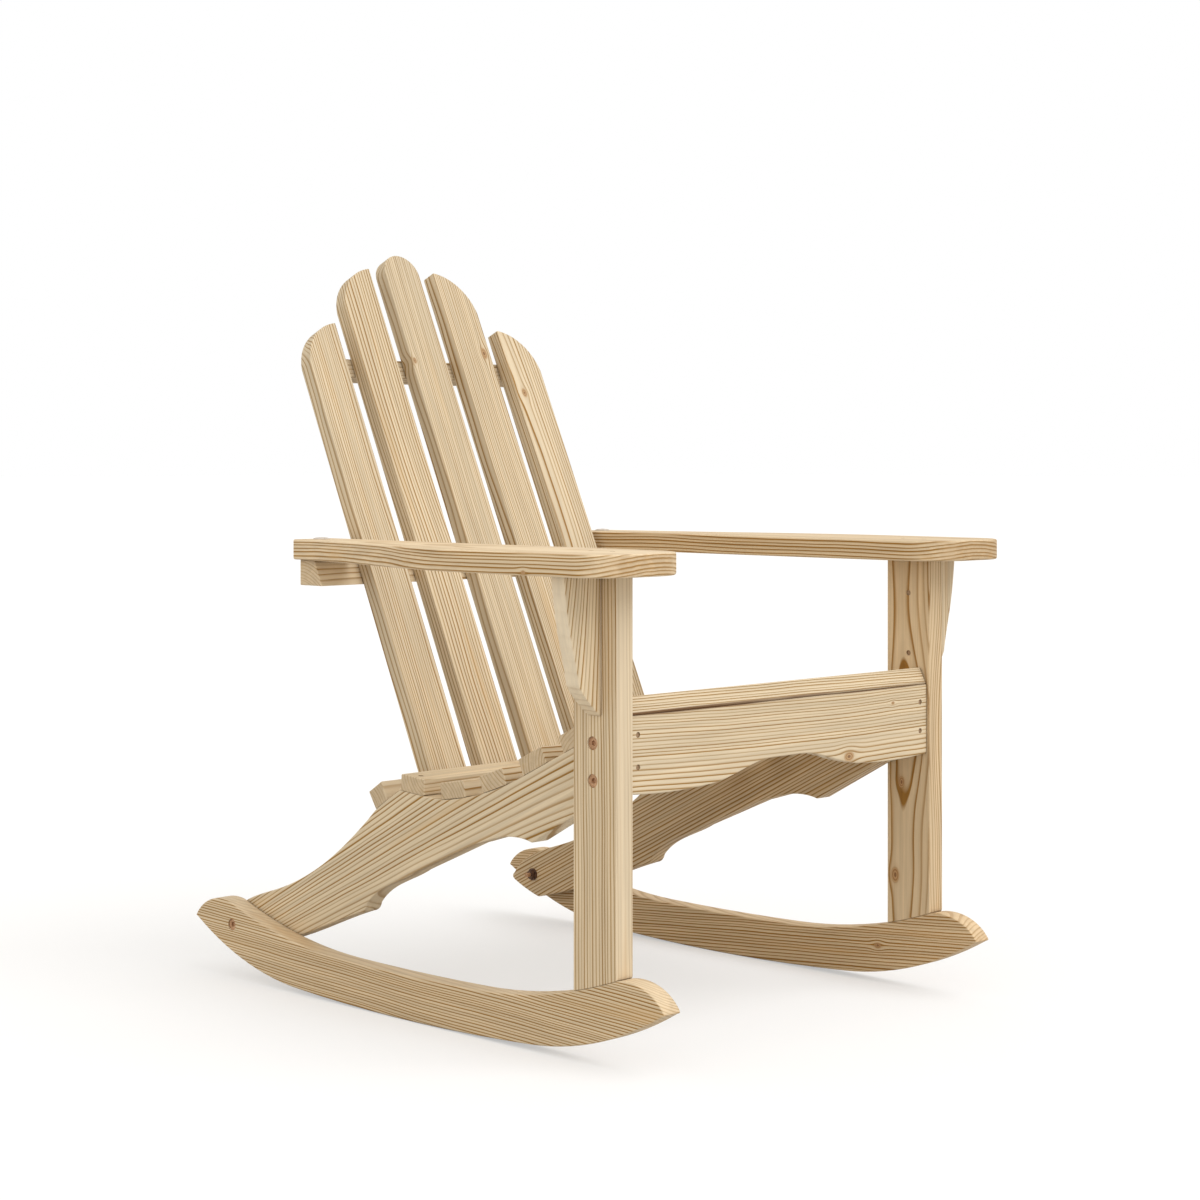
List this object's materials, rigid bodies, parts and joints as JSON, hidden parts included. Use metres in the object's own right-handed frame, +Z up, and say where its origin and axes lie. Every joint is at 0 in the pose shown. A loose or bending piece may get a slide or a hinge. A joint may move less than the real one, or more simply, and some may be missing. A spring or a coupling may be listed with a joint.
{
  "type": "rocking chair",
  "caption": "Slatted outdoor rocking chair of flat softwood boards, with broad level arms, a leaning back, a scooped seat and curved runners.",
  "frame": {"origin": "on the floor, midway between the two sides and midway along the runners, where the runners touch the floor", "axes": "+Z up, -Y the way the sitter faces, +X towards the sitter's left"},
  "size_m": [0.732, 0.829, 0.936],
  "materials": {
    "pine": "bare, planed softwood",
    "beech": "bare",
    "bolt_brown": "brown, matt",
    "steel": "zinc plated, dull"
  },
  "bodies": {
    "root": {"runner_right": "pine", "runner_left": "pine", "post_right": "pine", "post_left": "pine", "side_rail_right": "pine", "side_rail_left": "pine", "front_apron": "pine", "seat_slat_front": "pine", "seat_slat_2": "pine", "seat_slat_3": "pine", "seat_slat_4": "pine", "seat_slat_5": "pine", "seat_slat_rear": "pine", "back_slat_1": "pine", "back_slat_2": "pine", "back_slat_3": "pine", "back_slat_4": "pine", "back_slat_5": "pine", "upper_batten": "pine", "arm_cross_rail": "pine", "back_foot_rail": "pine", "arm_right": "pine", "arm_left": "pine", "arm_bracket_right": "pine", "arm_bracket_left": "pine", "post_dowels": "beech", "post_bolts": "bolt_brown", "tail_bolts": "bolt_brown", "nuts_and_washers": "steel", "bracket_screws": "steel", "arm_post_screws": "steel", "arm_rear_studs": "steel", "apron_screws": "steel", "seat_screws": "steel", "foot_rail_screws": "steel", "back_foot_screws": "steel", "back_cross_screws": "steel", "back_upper_screws": "steel"}
  },
  "joints": []
}
